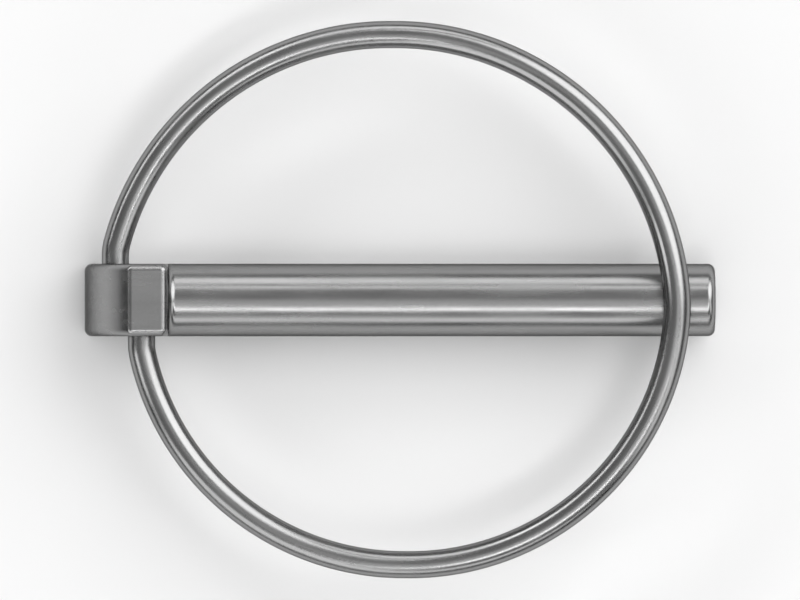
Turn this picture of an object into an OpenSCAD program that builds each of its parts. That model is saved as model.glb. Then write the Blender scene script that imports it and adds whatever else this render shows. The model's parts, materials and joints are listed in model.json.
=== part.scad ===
// Linch pin: a round shank with a forged head, and a spring wire ring that swings over and
// snaps down on the shank's far end. The origin is on the shank's axis, where its straight
// wall begins. +X runs out to the tip, and +Z is the side that the ring closes on.

/* [Shank] */
// Diameter of the shank
shank_d = 6; // [5:0.1:8]
// Length of the shank, from the front of the head to the tip
shank_len = 45.3; // [45:0.1:60]
// Length of the shank that a hole can take, from the front of the head to short of the ring
grip_len = 40; // [38:0.1:40.4]
// How much the radius shrinks past there, to lead the shank into a hole
lead_in = 0.01; // [0.01:0.01:0.2]
// Radius of the rounded rim of the tip
tip_r = 0.6; // [0.3:0.1:1.2]
// How far the middle of the tip's face stands out past its rim
tip_rise = 0.08; // [0.04:0.02:0.3]
// Radius of the fillet in the corner between the shank and the head
root_r = 0.6; // [0.3:0.1:1]

/* [Head] */
// Length of the head along the shank
head_len = 6.9; // [6.5:0.1:9]
// Height of the head's flat top over the shank's axis
head_top = 7.5; // [6.5:0.1:9]
// Length of the flat top, from the front of the head back to the crease
top_len = 3.2; // [2:0.1:3.6]
// Radius of the head's curved back
back_r = 10; // [9:0.1:12]
// Radius of the head's rounded edges
edge_r = 0.6; // [0.3:0.1:0.8]

/* [Pivot holes] */
// Height of the pivot over the shank's axis
pivot_z = 3; // [2:0.1:3.4]
// Distance from the front of the head back to the pivot, midway between the two holes
pivot_back = 3.27; // [3:0.01:3.6]
// Distance along the shank between the two holes, which makes the ring snap shut
hole_offset = 2.17; // [1.5:0.01:2.4]
// Depth of each blind hole
hole_depth = 2.6; // [2:0.1:2.7]
// Gap between the wire and the wall of its hole
hole_gap = 0.08; // [0.03:0.01:0.15]

/* [Ring] */
// Diameter of the spring wire
wire_d = 2.25; // [1.8:0.05:2.4]
// Width of the ring on its back leg's side, from the shank's axis to the middle of the wire
ring_half_w = 21.95; // [20:0.05:24]
// Radius of the ring on its back leg's side
back_arc_r = 23.35; // [22.5:0.05:24.2]
// Radius of the ring on its front leg's side
front_arc_r = 22.1; // [21:0.05:23]
// Length of straight wire at the widest point of the side that reaches further
side_run = 0.5; // [0.4:0.1:2]
// Radius of the short nose that joins the two sides over the shank
nose_r = 15; // [8:1:18]
// Angle that the nose turns through
nose_turn = 12; // [8:1:20]
// Radius of the bend from a leg into the ring
bend_r = 4; // [3:0.1:5]
// Length of straight wire between the side of the head and the bend
leg_out = 0.7; // [0.2:0.1:1.5]
// Gap between the end of a leg and the bottom of its hole
leg_end_gap = 0.2; // [0.1:0.05:0.4]
// Gap between the closed ring and the shank that it lies on
seat_gap = 0.05; // [0.02:0.01:0.1]

/* [Hidden] */
shank_r = shank_d / 2;
wire_r = wire_d / 2;
hole_r = wire_r + hole_gap;
rim_r = shank_r - lead_in;
rim_x = shank_len - tip_rise - tip_r;

// The tip's face is flat next to its rim, and this share of the rest is a shallow dome.
dome_share = 0.9;
face_r = rim_r - tip_r;
dome_r = dome_share * face_r;
dome_ball_r = (pow(dome_r, 2) + pow(tip_rise, 2)) / (2 * tip_rise);
round_steps = 32;
curve_steps = 96;
wire_steps = 48;
dome_steps = 720;
back_steps = 20;
overlap = 1;
seam = 0.05;
seam_rise = 0.01;

// The curved back starts straight up from this height, and meets the flat top at the crease.
back_x = back_r - head_len;
back_z = head_top - sqrt(pow(back_r, 2) - pow(back_x + top_len, 2));

// Each leg is [where it lies along the shank, its side]: the back leg is on +Y.
back_leg = [-pivot_back - hole_offset / 2, 1];
front_leg = [-pivot_back + hole_offset / 2, -1];
bend_y = shank_r + leg_out;

// Height of the middle of each arc in the plane of the ring. The nose turns through the same
// angle towards both sides, and every arc touches the next one from inside.
half_turn = nose_turn / 2;
back_arc_y = ring_half_w - back_arc_r;
nose_y = back_arc_y + (back_arc_r - nose_r) * sin(half_turn);
front_arc_y = nose_y + (front_arc_r - nose_r) * sin(half_turn);

// Middle of a leg's bend, and of the side arc of radius r that touches the bend.
function bend_at(leg) = [leg.x + bend_r, leg.y * bend_y];
function arc_at(leg, r, y) = [
    bend_at(leg).x + sqrt(pow(r - bend_r, 2) - pow(y - bend_at(leg).y, 2)),
    y
];
back_arc = arc_at(back_leg, back_arc_r, back_arc_y);
front_arc = arc_at(front_leg, front_arc_r, front_arc_y);

// The side that reaches further sets the nose's place, and the straight run of the other side
// makes up the difference. Past its run, each side goes on about a second middle.
function to_nose(r) = (r - nose_r) * cos(half_turn);
nose_x = side_run + max(back_arc.x + to_nose(back_arc_r), front_arc.x + to_nose(front_arc_r));
nose = [nose_x, nose_y];
back_far = [nose_x - to_nose(back_arc_r), back_arc_y];
front_far = [nose_x - to_nose(front_arc_r), front_arc_y];

// The closed ring slopes by this angle from the pivot up to the shank that it lies on.
ring_reach = nose.x + nose_r;
ring_slope = asin((shank_r + seat_gap + wire_r - pivot_z) / (ring_reach + pivot_back));

// The modules below are drawn with the front of the head at x = 0. This moves it back by the
// fillet's length, so that the straight wall of the shank begins at the origin.
module from_wall() {
    translate([-root_r, 0, 0]) children();
}

// Angle of the direction from one point to another.
function heading(from, to) = atan2(to.y - from.y, to.x - from.x);

// Turns a solid that is round about Z so that it is round about X, with its top at +X.
module along_shank() {
    rotate([0, 90, 0]) children();
}

// Carries what lies flat about the pivot to the slope of the closed ring.
module at_pivot() {
    translate([-pivot_back, 0, pivot_z])
        rotate([0, -ring_slope, 0])
            translate([pivot_back, 0, 0]) children();
}

// A round bar along Y, at a leg's place, from a depth inside the head's side to a distance out.
module leg_bar(leg, r, depth, out) {
    translate([leg.x, leg.y * (shank_r - depth), 0])
        rotate([-90 * leg.y, 0, 0]) cylinder(r = r, h = depth + out, $fn = wire_steps);
}

// Point at an angle on the circle of radius r about a centre.
function on_circle(centre, r, angle) = centre + r * [cos(angle), sin(angle)];

// Wire bent to radius r about a centre, from one angle to a larger one, less a seam at each end.
module wire_arc(centre, r, start, end) {
    trim = seam / r * 180 / PI;
    translate(centre) rotate([0, 0, start + trim])
        rotate_extrude(angle = end - start - 2 * trim, $fn = curve_steps)
            translate([r, 0]) circle(wire_r, $fn = wire_steps);
}

// A ball a hair thicker than the wire, which closes the seam between two of its bends. The wire
// runs square to the angle given, and the ball's poles lie along it.
module seam_ball(centre, angle) {
    translate(centre) rotate([90, 0, angle]) sphere(wire_r + seam_rise, $fn = wire_steps);
}

// Straight wire from one point to another, less a seam at each end, with the first end's ball.
module wire_run(from, to) {
    turn = heading(from, to);
    translate(from) rotate([0, 90, turn]) translate([0, 0, seam])
        cylinder(r = wire_r, h = norm(to - from) - 2 * seam, $fn = wire_steps);
    seam_ball(from, turn + 90);
}

// Outline of the head from the side, drawn inside its rounded edges.
module head_core() {
    high = head_top - edge_r;
    low = edge_r - shank_r;
    core_r = back_r - edge_r;
    crease_angle = asin((high - back_z) / core_r);
    polygon(concat(
        [[-edge_r, high], [-edge_r, low], [edge_r - head_len, low]],
        [for (i = [0:back_steps])
            let (a = crease_angle * i / back_steps)
            [back_x - core_r * cos(a), back_z + core_r * sin(a)]]
    ));
}

// The head: as wide as the shank is thick, with every edge rounded.
module head_block() {
    minkowski() {
        rotate([90, 0, 0])
            linear_extrude(height = 2 * (shank_r - edge_r), center = true) head_core();
        sphere(edge_r, $fn = round_steps);
    }
}

// The shank, with its lead-in, rounded rim and slightly domed face.
module shank() {
    along_shank() rotate_extrude($fn = curve_steps) {
        translate([0, -edge_r]) square([shank_r, grip_len + edge_r]);
        polygon([[0, grip_len], [shank_r, grip_len], [rim_r, rim_x], [0, rim_x]]);
        translate([face_r, rim_x]) intersection() {
            circle(tip_r, $fn = wire_steps);
            square(tip_r);
        }
        translate([0, grip_len]) square([face_r, shank_len - tip_rise - grip_len]);
        intersection() {
            translate([0, shank_len - dome_ball_r]) circle(dome_ball_r, $fn = dome_steps);
            translate([0, grip_len]) square([(dome_r + face_r) / 2, shank_len - grip_len]);
        }
    }
}

// The hollow fillet around the shank, no wider than the head.
module root_fillet() {
    intersection() {
        along_shank() rotate_extrude($fn = curve_steps) {
            translate([0, -edge_r]) square([shank_r + root_r, edge_r]);
            difference() {
                square([shank_r + root_r, root_r]);
                translate([shank_r + root_r, root_r]) circle(root_r, $fn = wire_steps);
            }
        }
        translate([-edge_r, -shank_r, -shank_r])
            cube([edge_r + root_r, 2 * shank_r, 2 * shank_r + root_r]);
    }
}

// The pin: head and shank in one piece, with a blind pivot hole in each side of the head.
module pin() {
    color("silver") from_wall() difference() {
        union() {
            head_block();
            shank();
            root_fillet();
        }
        at_pivot() for (leg = [back_leg, front_leg]) leg_bar(leg, hole_r, hole_depth, overlap);
    }
}

// The ring: one length of spring wire, from the end of one leg to the end of the other.
module ring() {
    to_back_bend = heading(back_arc, bend_at(back_leg));
    to_front_bend = heading(front_arc, bend_at(front_leg));
    bends = [
        [bend_at(back_leg), bend_r, to_back_bend, 180],
        [back_arc, back_arc_r, 90, to_back_bend],
        [back_far, back_arc_r, half_turn, 90],
        [nose, nose_r, -half_turn, half_turn],
        [front_far, front_arc_r, -90, -half_turn],
        [front_arc, front_arc_r, to_front_bend, -90],
        [bend_at(front_leg), bend_r, -180, to_front_bend]
    ];
    color("gainsboro") from_wall() at_pivot() {
        for (leg = [back_leg, front_leg])
            leg_bar(leg, wire_r, hole_depth - leg_end_gap, leg_out - seam);
        for (bend = bends) {
            wire_arc(bend[0], bend[1], bend[2], bend[3]);
            seam_ball(on_circle(bend[0], bend[1], bend[3]), bend[3]);
        }
        wire_run(on_circle(back_arc, back_arc_r, 90), on_circle(back_far, back_arc_r, 90));
        wire_run(on_circle(front_far, front_arc_r, -90), on_circle(front_arc, front_arc_r, -90));
        seam_ball([front_leg.x, -bend_y], 180);
    }
}

pin();
ring();
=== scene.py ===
import json
import math

import bmesh
import bpy
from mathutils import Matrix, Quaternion, Vector


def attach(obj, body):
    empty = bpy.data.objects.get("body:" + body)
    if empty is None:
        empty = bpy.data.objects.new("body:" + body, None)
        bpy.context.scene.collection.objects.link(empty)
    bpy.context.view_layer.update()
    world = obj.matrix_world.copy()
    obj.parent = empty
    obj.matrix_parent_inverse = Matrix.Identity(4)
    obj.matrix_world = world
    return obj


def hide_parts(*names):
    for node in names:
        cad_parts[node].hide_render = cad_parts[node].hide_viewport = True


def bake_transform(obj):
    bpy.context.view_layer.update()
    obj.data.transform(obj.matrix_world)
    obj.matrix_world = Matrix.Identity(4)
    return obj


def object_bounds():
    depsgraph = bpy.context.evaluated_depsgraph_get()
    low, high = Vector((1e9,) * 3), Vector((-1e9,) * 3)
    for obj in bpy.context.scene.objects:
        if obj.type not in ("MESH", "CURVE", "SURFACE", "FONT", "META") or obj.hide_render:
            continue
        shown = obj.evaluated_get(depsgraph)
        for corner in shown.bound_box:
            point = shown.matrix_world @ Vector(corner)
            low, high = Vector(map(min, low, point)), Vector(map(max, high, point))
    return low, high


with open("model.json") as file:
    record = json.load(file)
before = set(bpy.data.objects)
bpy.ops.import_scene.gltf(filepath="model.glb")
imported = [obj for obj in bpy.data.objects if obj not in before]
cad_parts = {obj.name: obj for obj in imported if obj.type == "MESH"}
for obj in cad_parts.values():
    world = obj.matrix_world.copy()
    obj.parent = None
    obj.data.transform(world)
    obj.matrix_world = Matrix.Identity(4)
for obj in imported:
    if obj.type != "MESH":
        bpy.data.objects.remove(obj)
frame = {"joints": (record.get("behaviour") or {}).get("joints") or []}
cad_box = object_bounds()

# A linch pin: a forged pin, and a spring wire ring that swings over on it. Lengths are in
# millimetres, in the CAD's frame. The origin is on the shank's axis where its straight wall
# begins, +X runs to the tip, and the front of the head is ROOT_R behind the origin.
MM = 0.001
LOW_CORNER, HIGH_CORNER = ([v / MM for v in corner] for corner in cad_box)
PIVOT_X, _, PIVOT_Z = (v / MM for v in frame["joints"][0]["pos_m"])


def micron(length):
    """A length rounded down to a whole micrometre, to stay inside the CAD's box."""
    return math.floor(length * 1000) / 1000


# ---------------------------------------------------------------- sizes
# The shank: its straight wall ends GRIP_LEN from the head's front, and its radius shrinks by
# LEAD_IN from there to the tip's rounded rim. ROOT_R is the fillet in the corner by the head.
SHANK_R = 3.0
SHANK_LEN = 45.3
GRIP_LEN = 40.0
LEAD_IN = 0.01
TIP_R = 0.6
TIP_RISE = 0.08
ROOT_R = 0.6

# The head: a flat top TOP_LEN long, a crease, and a back that curves down from it.
HEAD_LEN = micron(-LOW_CORNER[0]) - ROOT_R
HEAD_TOP = micron(HIGH_CORNER[2])
TOP_LEN = 3.2
BACK_R = 10.0
EDGE_R = 0.6

# The pivot is PIVOT_BACK behind the head's front, midway between two blind holes that are
# HOLE_OFFSET apart along the shank. HOLE_BREAK is the rounded edge of a hole's mouth.
PIVOT_BACK = -PIVOT_X - ROOT_R
HOLE_OFFSET = 2.17
HOLE_DEPTH = 2.6
HOLE_GAP = 0.08
HOLE_BREAK = 0.07

# The wire: each leg has HOLE_GAP round it and LEG_END_GAP to the bottom of its hole, and is
# straight for LEG_OUT past the head. The closed ring lies SEAT_GAP over the shank.
WIRE_R = 1.125
WIRE_BREAK = 0.18
HOLE_R = WIRE_R + HOLE_GAP
BEND_R = 4.0
LEG_OUT = 0.7
LEG_END_GAP = 0.2
SEAT_GAP = 0.05

# The ring's back side reaches out to +Y, and its front side to -Y. The nose joins them, and
# turns through twice HALF_TURN. RING_W is from the shank's axis to the wire's middle where the
# back side is widest. The side that reaches further is straight for SIDE_RUN there.
BACK, FRONT = 1, -1
RING_W = 21.95
ARC_RADIUS = {BACK: 23.35, FRONT: 22.1}
SIDE_RUN = 0.5
NOSE_R = 15.0
HALF_TURN = math.radians(6.0)

# Each leg stays in its own hole, and the wire twists between there and where it turns with the
# ring's body. Straight out along Y, the twist starts this far from the shank's axis and is over
# this much further on. TWIST_WAY is square to the planes where it starts and ends, and leans so
# that the wire keeps its thickness when the ring is fully open.
TWIST_FROM = {BACK: 2.56, FRONT: 3.41}
TWIST_LEN = {BACK: 7.59, FRONT: 8.72}
TWIST_WAY = {BACK: Vector((0.26, 1.0, 0.12)), FRONT: Vector((0.41, -1.0, -0.49))}
# The wire's rigid part begins where this many lengths of the twist have passed.
TWIST_MARGIN = 1.25

# Millimetres in one unit of UV, along a piece and across it
UV_ALONG = 10.0
UV_ACROSS = 6.0

# ---------------------------------------------------------------- looks
# The steel's tone, its mean roughness, and how much of its glancing reflection it keeps
TONE = 0.335
ROUGH = 0.26
EDGE = 0.25

# The floor's colour under the object and far from it, where the one fades into the other, how
# far the floor is below the pin, and half its width
FLOOR_NEAR = 0.88
FLOOR_FAR = 0.6
FADE_FROM = 42.0
FADE_TO = 80.0
FLOOR_GAP = 0.01
FLOOR_HALF = 8000.0

# Brightness of the room at the horizon and straight up
ROOM_LOW = 0.03
ROOM_HIGH = 0.31

# The view from straight above: its middle along X, its width, the camera's height, and the
# nearest and furthest that the camera sees
VIEW_X = 18.58
VIEW_WIDTH = 66.15
VIEW_HEIGHT = 400.0
VIEW_NEAR = 10.0
VIEW_FAR = 10000.0

# Each lamp's name, azimuth and angle from straight up, the two angles that it covers as seen
# from the object, its radiance and its roll. Angles are in degrees.
LAMPS = [
    ("key", 36.9, 49.3, 53.0, 58.6, 2.60, -7.5),
    ("right_spot", 338.3, 56.4, 21.7, 37.8, 1.58, -42.5),
    ("top_strip", 298.5, 26.7, 51.0, 7.4, 4.94, 3.5),
    ("left_strip", 140.5, 62.7, 52.4, 10.9, 3.27, -3.9),
    ("left_wing", 98.6, 63.2, 57.1, 22.4, 1.84, 7.0),
    ("left_soft", 86.3, 40.5, 16.8, 9.0, 2.24, -16.0),
    ("left_spot", 193.1, 57.1, 26.7, 10.3, 2.87, 88.9),
    ("front_wash", 235.4, 58.6, 52.7, 37.3, 1.52, 20.8),
    ("front_strip", 279.0, 65.5, 54.3, 17.1, 1.51, 11.1),
    ("top_soft", 308.0, 15.2, 30.3, 38.7, 0.63, -65.5),
]
LAMP_DISTANCE = 3000.0
LAMP_AIM_X = 18.0


# ---------------------------------------------------------------- mesh helpers
def steps(a, b, n):
    """n + 1 even steps from a to b. n only sets how finely a shape is drawn."""
    return [a + (b - a) * i / n for i in range(n + 1)]


class Shell:
    """Collects vertices that each carry their own exact normal, in millimetres."""

    # Points closer than this are in the same place.
    SAME = 1e-6

    def __init__(self, wraps=False):
        """wraps says that the UV's second number goes round the piece from 0 to 1."""
        self.co, self.no, self.uv, self.faces = [], [], [], []
        self.wraps = wraps

    def point(self, co, no, uv=(0.0, 0.0)):
        self.co.append(Vector(co))
        self.no.append(Vector(no).normalized())
        self.uv.append(uv)
        return len(self.co) - 1

    def apart(self, a, b):
        return (self.co[a] - self.co[b]).length > self.SAME

    def grid(self, rows, closed=False):
        """Quads between rows of point numbers. The rows of a closed grid are loops."""
        for a, b in zip(rows[:-1], rows[1:]):
            n = len(a)
            for i in range(n if closed else n - 1):
                j = (i + 1) % n
                self.face([a[i], a[j], b[j], b[i]])

    def face(self, loop):
        """Adds a face that looks the way its normals do, and has no two points in one place."""
        seen = []
        for v in loop:
            if not seen or self.apart(v, seen[-1]):
                seen.append(v)
        if len(seen) > 1 and not self.apart(seen[0], seen[-1]):
            seen.pop()
        if len(seen) < 3:
            return
        turn = Vector((0, 0, 0))
        for a, b in zip(seen, seen[1:] + seen[:1]):
            turn += self.co[a].cross(self.co[b])
        side = sum((self.no[v] for v in seen), Vector((0, 0, 0)))
        if turn.dot(side) < 0:
            seen.reverse()
        self.faces.append(seen)

    def build(self, name):
        """Makes the object, in metres."""
        mesh = bpy.data.meshes.new(name)
        mesh.from_pydata([c * MM for c in self.co], [], self.faces)
        layer = mesh.uv_layers.new(name="UVMap")
        for polygon in mesh.polygons:
            polygon.use_smooth = True
            across = [self.uv[v][1] for v in polygon.vertices]
            over_end = self.wraps and max(across) - min(across) > 0.5
            for corner, v in zip(polygon.loop_indices, polygon.vertices):
                u, w = self.uv[v]
                layer.data[corner].uv = (u, w + 1 if over_end and w < 0.5 else w)
        mesh.normals_split_custom_set_from_vertices([tuple(n) for n in self.no])
        obj = bpy.data.objects.new(name, mesh)
        bpy.context.collection.objects.link(obj)
        return obj


# ---------------------------------------------------------------- the ring's plane
def ring_layout():
    """Places of the legs, bends, arcs and nose, in the ring's plane from the head's front."""
    legs = {s: -PIVOT_BACK - s * HOLE_OFFSET / 2 for s in (BACK, FRONT)}
    bend_y = SHANK_R + LEG_OUT
    back_y = RING_W - ARC_RADIUS[BACK]
    nose_y = back_y + (ARC_RADIUS[BACK] - NOSE_R) * math.sin(HALF_TURN)
    arc_y = {BACK: back_y, FRONT: nose_y + (ARC_RADIUS[FRONT] - NOSE_R) * math.sin(HALF_TURN)}
    arc_x, to_nose = {}, {}
    for s in (BACK, FRONT):
        across = arc_y[s] - s * bend_y
        arc_x[s] = legs[s] + BEND_R + math.sqrt((ARC_RADIUS[s] - BEND_R) ** 2 - across ** 2)
        to_nose[s] = (ARC_RADIUS[s] - NOSE_R) * math.cos(HALF_TURN)
    nose_x = SIDE_RUN + max(arc_x[s] + to_nose[s] for s in (BACK, FRONT))
    far_x = {s: nose_x - to_nose[s] for s in (BACK, FRONT)}
    return legs, bend_y, arc_x, arc_y, far_x, nose_x, nose_y


LEGS, BEND_Y, ARC_X, ARC_Y, FAR_X, NOSE_X, NOSE_Y = ring_layout()
SLOPE = math.asin((SHANK_R + SEAT_GAP + WIRE_R - PIVOT_Z) / (NOSE_X + NOSE_R + PIVOT_BACK))


def tilt(x, y, z):
    """From the plane of the ring to the frame."""
    u = x + PIVOT_BACK
    return Vector((u * math.cos(SLOPE) - z * math.sin(SLOPE) + PIVOT_X, y,
                   u * math.sin(SLOPE) + z * math.cos(SLOPE) + PIVOT_Z))


# ---------------------------------------------------------------- the pin
def shank_profile():
    """[x, radius, normal along x, normal outwards] from inside the head out to the tip."""
    tip = SHANK_LEN - ROOT_R
    wall_end = GRIP_LEN - ROOT_R
    rim = SHANK_R - LEAD_IN
    face = rim - TIP_R
    dome_r = (face ** 2 + TIP_RISE ** 2) / (2 * TIP_RISE)
    rim_x = tip - dome_r + math.sqrt((dome_r - TIP_R) ** 2 - face ** 2)
    lead_len = rim_x - wall_end
    dome_angle = math.asin(face / (dome_r - TIP_R))

    out = [(x, SHANK_R + ROOT_R, 0, 1) for x in (-ROOT_R - EDGE_R, -ROOT_R)]
    for a in steps(0, math.pi / 2, 14):
        out.append((-ROOT_R * math.cos(a), SHANK_R + ROOT_R * (1 - math.sin(a)),
                    math.cos(a), math.sin(a)))
    for x in steps(0, wall_end, 40)[1:]:
        out.append((x, SHANK_R, 0, 1))
    for x in steps(wall_end, rim_x, 4)[1:]:
        out.append((x, SHANK_R - LEAD_IN * (x - wall_end) / lead_len, LEAD_IN / lead_len, 1))
    for a in steps(math.pi / 2, dome_angle, 16)[1:]:
        out.append((rim_x + TIP_R * math.cos(a), face + TIP_R * math.sin(a),
                    math.cos(a), math.sin(a)))
    for a in steps(dome_angle, 0, 10)[1:]:
        out.append((tip - dome_r + dome_r * math.cos(a), dome_r * math.sin(a),
                    math.cos(a), math.sin(a)))
    return out


def add_shank(shell, segments=160):
    """The shank and its root fillet, turned about X. The fillet is wider than the head, and is
    cut flat at the head's two sides and at the bottom."""
    quarter = segments // 4
    top, under = [], []
    low, flat = {BACK: [], FRONT: []}, {BACK: [], FRONT: []}
    for x, r, nx, nr in shank_profile():
        cut = math.acos(min(1.0, SHANK_R / r)) if r > SHANK_R else 0.0

        def around(angles):
            return [shell.point((x, r * math.cos(a), r * math.sin(a)),
                                (nx, nr * math.cos(a), nr * math.sin(a)),
                                (x / UV_ALONG, a / UV_ACROSS))
                    for a in angles]

        top.append(around(steps(cut, math.pi - cut, 2 * quarter)))
        low[BACK].append(around(steps(-cut, cut - math.pi / 2, quarter)))
        low[FRONT].append(around(steps(-math.pi / 2 - cut, cut - math.pi, quarter)))
        if r >= SHANK_R and x <= 0:
            half = r * math.sin(cut)
            for side in (BACK, FRONT):
                flat[side].append([
                    shell.point((x, side * SHANK_R, z), (0, side, 0), (x / UV_ALONG, z / UV_ACROSS))
                    for z in steps(-half, half, 6)])
            under.append([
                shell.point((x, y, -SHANK_R), (0, 0, -1), (x / UV_ALONG, y / UV_ACROSS))
                for y in steps(-half, half, 6)])
    for rows in (top, under, low[BACK], flat[BACK], low[FRONT], flat[FRONT]):
        shell.grid(rows)


def head_outline():
    """[x, z, normal x, normal z] round the head's side, inside its rounded edges."""
    high, low = HEAD_TOP - EDGE_R, EDGE_R - SHANK_R
    front, heel = -EDGE_R, EDGE_R - HEAD_LEN
    centre_x = BACK_R - HEAD_LEN
    centre_z = HEAD_TOP - math.sqrt(BACK_R ** 2 - (centre_x + TOP_LEN) ** 2)
    core = BACK_R - EDGE_R
    crease = math.pi - math.asin((high - centre_z) / core)
    crease_x = centre_x + core * math.cos(crease)
    out = []

    def straight(a, b, angle, n):
        for t in steps(0, 1, n):
            out.append((a[0] + (b[0] - a[0]) * t, a[1] + (b[1] - a[1]) * t,
                        math.cos(angle), math.sin(angle)))

    def corner(p, a, b, n):
        for t in steps(a, b, n)[1:-1]:
            out.append((p[0], p[1], math.cos(t), math.sin(t)))

    straight((front, low), (front, high), 0, 12)
    corner((front, high), 0, math.pi / 2, 14)
    straight((front, high), (crease_x, high), math.pi / 2, 6)
    corner((crease_x, high), math.pi / 2, crease, 10)
    for a in steps(crease, math.pi, 60):
        out.append((centre_x + core * math.cos(a), centre_z + core * math.sin(a),
                    math.cos(a), math.sin(a)))
    straight((heel, centre_z), (heel, low), math.pi, 3)
    corner((heel, low), math.pi, 1.5 * math.pi, 14)
    straight((heel, low), (front, low), 1.5 * math.pi, 8)
    corner((front, low), 1.5 * math.pi, 2 * math.pi, 14)
    return [(x - ROOT_R, z, nx, nz) for x, z, nx, nz in out]


def add_head(shell):
    """The head but for the flat of its two sides. Returns the rows of points across it."""
    half = SHANK_R - EDGE_R
    quarter = math.pi / 2
    across = [(-1, a) for a in steps(-quarter, 0, 12)] + [(1, a) for a in steps(0, quarter, 12)]
    outline = head_outline()
    rows = []
    run = 0.0
    for i, (x, z, nx, nz) in enumerate(outline):
        if i:
            # The rows of a corner start from one place, so each adds a little of its own.
            run += math.dist((x, z), outline[i - 1][:2]) + 0.1 * EDGE_R
        row = []
        for side, a in across:
            c, s = math.cos(a), math.sin(a)
            y = side * half + EDGE_R * s
            row.append(shell.point((x + nx * EDGE_R * c, y, z + nz * EDGE_R * c),
                                   (nx * c, s, nz * c), (run / UV_ALONG, y / UV_ACROSS)))
        rows.append(row)
    shell.grid(rows + rows[:1])
    return rows


def add_hole(shell, side):
    """A blind pivot hole: a broken edge, the wall and the bottom. Returns the loop of its lip."""
    centre = tilt(LEGS[side], 0, 0)
    circle = [(math.cos(a), math.sin(a)) for a in steps(0, 2 * math.pi, 64)[:-1]]

    def loop(r, depth, away, out):
        """Points whose normals face away from the hole's axis and out of its mouth so much."""
        return [shell.point((centre.x + r * c, side * (SHANK_R - depth), centre.z + r * s),
                            (away * c, side * out, away * s), (c * r / UV_ALONG, s * r / UV_ALONG))
                for c, s in circle]

    loops = [loop(HOLE_R + HOLE_BREAK, 0, 0, 1)]
    for a in steps(0, math.pi / 2, 5)[1:]:
        loops.append(loop(HOLE_R + HOLE_BREAK * (1 - math.sin(a)), HOLE_BREAK * (1 - math.cos(a)),
                          -math.sin(a), math.cos(a)))
    loops.append(loop(HOLE_R, HOLE_DEPTH, -1, 0))
    shell.grid(loops, closed=True)
    shell.face(loop(HOLE_R, HOLE_DEPTH, 0, 1))
    return loops[0]


def add_side(shell, side, rows, lip):
    """The flat of the head's side, from its rounded edges to the lip of its hole."""
    rim = []
    for row in rows:
        v = row[-1] if side > 0 else row[0]
        if not rim or shell.apart(v, rim[-1]):
            rim.append(v)
    if not shell.apart(rim[0], rim[-1]):
        rim.pop()
    bm = bmesh.new()
    number = {bm.verts.new(shell.co[v]): v for v in rim + lip}
    made = list(number)
    for loop in (made[:len(rim)], made[len(rim):]):
        for a, b in zip(loop, loop[1:] + loop[:1]):
            bm.edges.new((a, b))
    bmesh.ops.triangle_fill(bm, edges=bm.edges[:], use_beauty=True, use_dissolve=False,
                            normal=(0, side, 0))
    for f in bm.faces:
        shell.face([number[v] for v in f.verts])
    bm.free()


def make_pin():
    shell = Shell()
    add_shank(shell)
    rows = add_head(shell)
    for side in (BACK, FRONT):
        add_side(shell, side, rows, add_hole(shell, side))
    return shell.build("forged_pin")


# ---------------------------------------------------------------- the ring
def twist_start(s):
    """Where a side's twist starts, straight out from the pivot."""
    return Vector((PIVOT_X, s * TWIST_FROM[s], PIVOT_Z))


def twist_share(s, p):
    """0 where a point stays with the pin, and 1 or more where it turns with the ring."""
    return (p - twist_start(s)).dot(TWIST_WAY[s]) / TWIST_LEN[s]


def half_path(s):
    """[point, direction] along the wire's middle, from the end of a leg to the nose's middle."""
    leg = LEGS[s]
    out = [((leg, s * y), (0, s))
           for y in steps(SHANK_R - HOLE_DEPTH + LEG_END_GAP, BEND_Y, 14)]

    def arc(centre, radius, a, b, n):
        for t in steps(a, b, n)[1:]:
            out.append(((centre[0] + radius * math.cos(t), centre[1] + radius * math.sin(t)),
                        (s * math.sin(t), -s * math.cos(t))))

    bend = (leg + BEND_R, s * BEND_Y)
    near, far = (ARC_X[s], ARC_Y[s]), (FAR_X[s], ARC_Y[s])
    join = math.atan2(bend[1] - near[1], bend[0] - near[0])
    arc(bend, BEND_R, s * math.pi, join, 8)
    arc(near, ARC_RADIUS[s], join, s * math.pi / 2, 80)
    out.append(((far[0], far[1] + s * ARC_RADIUS[s]), (1, 0)))
    arc(far, ARC_RADIUS[s], s * math.pi / 2, s * HALF_TURN, 80)
    arc((NOSE_X, NOSE_Y), NOSE_R, s * HALF_TURN, 0, 8)
    return out


def whole_path():
    """[point, direction, length so far] from the back leg's end to the front leg's end."""
    back, front = half_path(BACK), half_path(FRONT)
    out, run = [], 0.0
    for (x, y), (dx, dy) in back + [(p, (-d[0], -d[1])) for p, d in reversed(front[:-1])]:
        p = tilt(x, y, 0)
        if out:
            run += (p - out[-1][0]).length
        out.append((p, (tilt(dx, dy, 0) - tilt(0, 0, 0)).normalized(), run))
    return out


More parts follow.
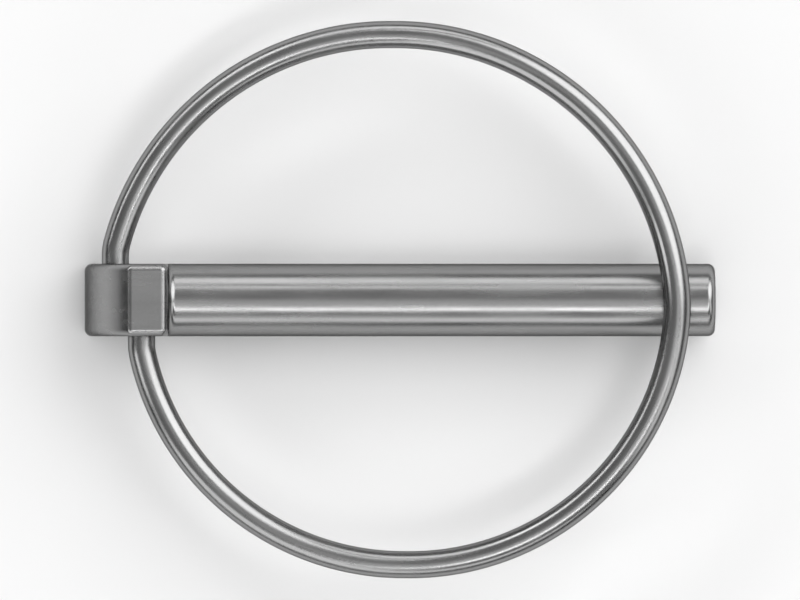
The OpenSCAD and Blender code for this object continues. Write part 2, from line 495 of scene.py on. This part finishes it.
def make_wire(name, sections, first, last, segments=48):
    """The wire from one section to another. An end of the whole wire has a rounded rim."""
    shell = Shell(wraps=True)
    up = tilt(0, 0, 1) - tilt(0, 0, 0)

    def circle(number, ahead_by, radius, lean):
        """Points round a section, whose normals lean ahead by an angle."""
        p, ahead, along = sections[number]
        out = up.cross(ahead).normalized()
        row = []
        for i in range(segments):
            a = 2 * math.pi * i / segments
            n = out * math.cos(a) + up * math.sin(a)
            row.append(shell.point(p + ahead * ahead_by + n * radius,
                                   n * math.cos(lean) + ahead * math.sin(lean),
                                   (along / UV_ALONG, i / segments)))
        return row

    def rim(number, way):
        """The rounded rim of an end, from the edge of its face to the full wire."""
        return [circle(number, -way * WIRE_BREAK * (1 - math.sin(a)),
                       WIRE_R - WIRE_BREAK * (1 - math.cos(a)), way * a)
                for a in steps(math.pi / 2, 0, 5)]

    starts, ends = first == 0, last == len(sections) - 1
    rows = [circle(i, 0, WIRE_R, 0) for i in range(first, last + 1)]
    if starts:
        rows = rim(0, -1) + rows[1:]
    if ends:
        rows = rows[:-1] + rim(last, 1)[::-1]
    shell.grid(rows, closed=True)
    for number, way, rounded in ((first, -1, starts), (last, 1, ends)):
        radius = WIRE_R - WIRE_BREAK if rounded else WIRE_R
        shell.face(circle(number, 0, radius, way * math.pi / 2))
    return shell.build(name)


# ---------------------------------------------------------------- materials
def nodes_of(material):
    material.use_nodes = True
    tree = material.node_tree
    return tree.nodes, tree.links, tree.nodes["Principled BSDF"]


class Graph:
    """Short ways to add shader nodes to one steel."""

    # Most of a noise's values lie between these.
    NOISE_LOW = 0.3
    NOISE_HIGH = 0.7

    def __init__(self, name):
        self.material = bpy.data.materials.new(name)
        self.nodes, self.links, self.bsdf = nodes_of(self.material)

    def noise(self, place, cells, detail, rough):
        """Noise with this many cells to a unit of place, in each direction."""
        scaled = self.nodes.new("ShaderNodeVectorMath")
        scaled.operation = "MULTIPLY"
        self.links.new(place, scaled.inputs[0])
        scaled.inputs[1].default_value = cells
        node = self.nodes.new("ShaderNodeTexNoise")
        node.inputs["Scale"].default_value = 1.0
        node.inputs["Detail"].default_value = detail
        node.inputs["Roughness"].default_value = rough
        self.links.new(scaled.outputs[0], node.inputs["Vector"])
        return node.outputs["Fac"]

    def math(self, kind, a, b=None):
        node = self.nodes.new("ShaderNodeMath")
        node.operation = kind
        for socket, value in zip(node.inputs, (a, b)):
            if isinstance(value, (int, float)):
                socket.default_value = value
            elif value is not None:
                self.links.new(value, socket)
        return node.outputs[0]

    def mixed(self, a, b, share):
        """share of a and the rest of b"""
        return self.math("ADD", self.math("MULTIPLY", a, share),
                         self.math("MULTIPLY", b, 1 - share))

    def around(self, noise, middle, spread):
        """A value that strays from its middle by a spread, as a noise does."""
        node = self.nodes.new("ShaderNodeMapRange")
        self.links.new(noise, node.inputs["Value"])
        for key, number in (("From Min", self.NOISE_LOW), ("From Max", self.NOISE_HIGH),
                            ("To Min", middle - spread), ("To Max", middle + spread)):
            node.inputs[key].default_value = number
        return node.outputs["Result"]

    def bump(self, height, distance, before=None):
        """Bumps this far from low to high in metres, on top of any before them."""
        node = self.nodes.new("ShaderNodeBump")
        node.inputs["Distance"].default_value = distance
        self.links.new(height, node.inputs["Height"])
        if before is not None:
            self.links.new(before, node.inputs["Normal"])
        return node.outputs["Normal"]

    def metal(self, tone, rough, normal):
        self.bsdf.inputs["Metallic"].default_value = 1.0
        self.bsdf.inputs["Specular Tint"].default_value = (EDGE, EDGE, EDGE, 1)
        self.links.new(tone, self.bsdf.inputs["Base Color"])
        self.links.new(rough, self.bsdf.inputs["Roughness"])
        self.links.new(normal, self.bsdf.inputs["Normal"])
        return self.material


def plated_steel():
    """Zinc-plated steel: faint streaks along the bar, a satin grain, a slight forged waviness."""
    g = Graph("zinc_plated_steel")
    place = g.nodes.new("ShaderNodeTexCoord").outputs["Object"]
    streak = g.noise(place, (120, 1500, 1500), detail=2, rough=0.45)
    wave = g.noise(place, (160, 380, 380), detail=1, rough=0.4)
    grain = g.noise(place, (6000, 9000, 9000), detail=3, rough=0.6)
    normal = g.bump(wave, distance=1.1e-5)
    normal = g.bump(streak, distance=1e-6, before=normal)
    normal = g.bump(grain, distance=1.2e-7, before=normal)
    tone = g.around(g.mixed(streak, grain, share=0.6), TONE, spread=0.07 * TONE)
    rough = g.around(g.mixed(streak, wave, share=0.5), ROUGH, spread=0.05)
    return g.metal(tone, rough, normal)


def drawn_wire():
    """Bright spring wire: die lines along it, a satin grain and a slow change along its length.

    Its noise is laid along the wire and round it, with no seam where the way round closes."""
    g = Graph("bright_spring_wire")
    uv = g.nodes.new("ShaderNodeUVMap").outputs["UV"]
    apart = g.nodes.new("ShaderNodeSeparateXYZ")
    g.links.new(uv, apart.inputs[0])
    angle = g.math("MULTIPLY", apart.outputs["Y"], 2 * math.pi)
    joined = g.nodes.new("ShaderNodeCombineXYZ")
    g.links.new(apart.outputs["X"], joined.inputs[0])
    g.links.new(g.math("COSINE", angle), joined.inputs[1])
    g.links.new(g.math("SINE", angle), joined.inputs[2])
    place = joined.outputs[0]
    streak = g.noise(place, (2.2, 2.2, 2.2), detail=2, rough=0.45)
    slow = g.noise(place, (1.1, 0.5, 0.5), detail=1, rough=0.5)
    grain = g.noise(place, (24, 7, 7), detail=2, rough=0.5)
    normal = g.bump(streak, distance=1.2e-6)
    normal = g.bump(grain, distance=5e-8, before=normal)
    tone = g.around(g.mixed(streak, grain, share=0.6), TONE, spread=0.06 * TONE)
    rough = g.around(g.mixed(streak, slow, share=0.4), ROUGH, spread=0.04)
    return g.metal(tone, rough, normal)


# ---------------------------------------------------------------- the object
def place_pin():
    pin = make_pin()
    pin.data.materials.append(plated_steel())
    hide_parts("pin")
    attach(pin, "pin")


def place_ring():
    """The wire in three lengths: a rigid loop that is attached to the ring, and the two legs, which
    reach past the twists and are attached to nothing.
    """
    steel = drawn_wire()
    sections = whole_path()
    end = len(sections) - 1

    def turning(numbers, side):
        """The first of these sections that is past a side's twist."""
        return next(i for i in numbers if twist_share(side, sections[i][0]) > TWIST_MARGIN)

    back_cut = turning(range(end), BACK)
    front_cut = turning(range(end, 0, -1), FRONT)
    loop = make_wire("wire_loop", sections, back_cut, front_cut)
    back_leg = make_wire("wire_back_leg", sections, 0, back_cut)
    front_leg = make_wire("wire_front_leg", sections, front_cut, end)
    for piece in (loop, back_leg, front_leg):
        piece.data.materials.append(steel)
        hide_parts("ring")
    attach(loop, "ring")
    for piece, side in ((back_leg, BACK), (front_leg, FRONT)):
        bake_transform(piece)


# ---------------------------------------------------------------- floor, lights and camera
def floor_material():
    """Pale, and a little greyer far from the object. From below it is clear, so that the
    underside can be looked at."""
    material = bpy.data.materials.new("pale_floor")
    nodes, links, bsdf = nodes_of(material)
    place = nodes.new("ShaderNodeTexCoord")
    away = nodes.new("ShaderNodeVectorMath")
    away.operation = "DISTANCE"
    away.inputs[1].default_value = (VIEW_X * MM, 0, 0)
    links.new(place.outputs["Object"], away.inputs[0])
    fade = nodes.new("ShaderNodeMapRange")
    fade.interpolation_type = "SMOOTHSTEP"
    for key, number in (("From Min", FADE_FROM * MM), ("From Max", FADE_TO * MM),
                        ("To Min", FLOOR_NEAR), ("To Max", FLOOR_FAR)):
        fade.inputs[key].default_value = number
    links.new(away.outputs["Value"], fade.inputs["Value"])
    links.new(fade.outputs["Result"], bsdf.inputs["Base Color"])
    bsdf.inputs["Roughness"].default_value = 1.0
    bsdf.inputs["Specular IOR Level"].default_value = 0.0

    clear = nodes.new("ShaderNodeBsdfTransparent")
    side = nodes.new("ShaderNodeNewGeometry")
    either = nodes.new("ShaderNodeMixShader")
    links.new(side.outputs["Backfacing"], either.inputs["Fac"])
    links.new(bsdf.outputs["BSDF"], either.inputs[1])
    links.new(clear.outputs["BSDF"], either.inputs[2])
    links.new(either.outputs["Shader"], nodes["Material Output"].inputs["Surface"])
    return material


def make_floor():
    mesh = bpy.data.meshes.new("floor")
    z = -(SHANK_R + FLOOR_GAP) * MM
    half = FLOOR_HALF * MM
    corners = [(-half, -half, z), (half, -half, z), (half, half, z), (-half, half, z)]
    mesh.from_pydata(corners, [], [(0, 1, 2, 3)])
    mesh.materials.append(floor_material())
    floor = bpy.data.objects.new("floor", mesh)
    bpy.context.collection.objects.link(floor)


def make_room():
    """A world that is dim at the horizon and paler overhead."""
    world = bpy.data.worlds.new("studio")
    world.use_nodes = True
    nodes, links = world.node_tree.nodes, world.node_tree.links
    place = nodes.new("ShaderNodeTexCoord")
    apart = nodes.new("ShaderNodeSeparateXYZ")
    square = nodes.new("ShaderNodeMath")
    square.operation = "MULTIPLY"
    shade = nodes.new("ShaderNodeMapRange")
    shade.inputs["To Min"].default_value = ROOM_LOW
    shade.inputs["To Max"].default_value = ROOM_HIGH
    links.new(place.outputs["Generated"], apart.inputs[0])
    links.new(apart.outputs["Z"], square.inputs[0])
    links.new(apart.outputs["Z"], square.inputs[1])
    links.new(square.outputs[0], shade.inputs["Value"])
    links.new(shade.outputs["Result"], nodes["Background"].inputs["Color"])
    bpy.context.scene.world = world


def softbox(name, azimuth, polar, wide, high, radiance, roll):
    """An oval area lamp, as a line of LAMPS describes it."""
    distance = LAMP_DISTANCE * MM
    a, p = math.radians(azimuth), math.radians(polar)
    back = Vector((math.sin(p) * math.cos(a), math.sin(p) * math.sin(a), math.cos(p)))
    data = bpy.data.lights.new(name, "AREA")
    data.shape = "ELLIPSE"
    data.size = 2 * distance * math.tan(math.radians(wide) / 2)
    data.size_y = 2 * distance * math.tan(math.radians(high) / 2)
    area = math.pi / 4 * data.size * data.size_y
    data.energy = radiance * math.pi * area
    lamp = bpy.data.objects.new(name, data)
    lamp.location = Vector((LAMP_AIM_X * MM, 0, 0)) + back * distance
    lamp.rotation_mode = "QUATERNION"
    facing = back.to_track_quat("Z", "Y")
    lamp.rotation_quaternion = facing @ Quaternion((0, 0, 1), math.radians(roll))
    lamp.visible_camera = False
    bpy.context.collection.objects.link(lamp)


def make_camera():
    """A view from straight above, with the tip on the right."""
    camera = bpy.data.cameras.new("camera")
    camera.type = "ORTHO"
    camera.ortho_scale = VIEW_WIDTH * MM
    camera.clip_start = VIEW_NEAR * MM
    camera.clip_end = VIEW_FAR * MM
    eye = bpy.data.objects.new("camera", camera)
    eye.location = (VIEW_X * MM, 0, VIEW_HEIGHT * MM)
    bpy.context.collection.objects.link(eye)
    bpy.context.scene.camera = eye


place_pin()
place_ring()
make_floor()
make_room()
for settings in LAMPS:
    softbox(*settings)
make_camera()
bpy.context.scene.view_settings.view_transform = "Standard"
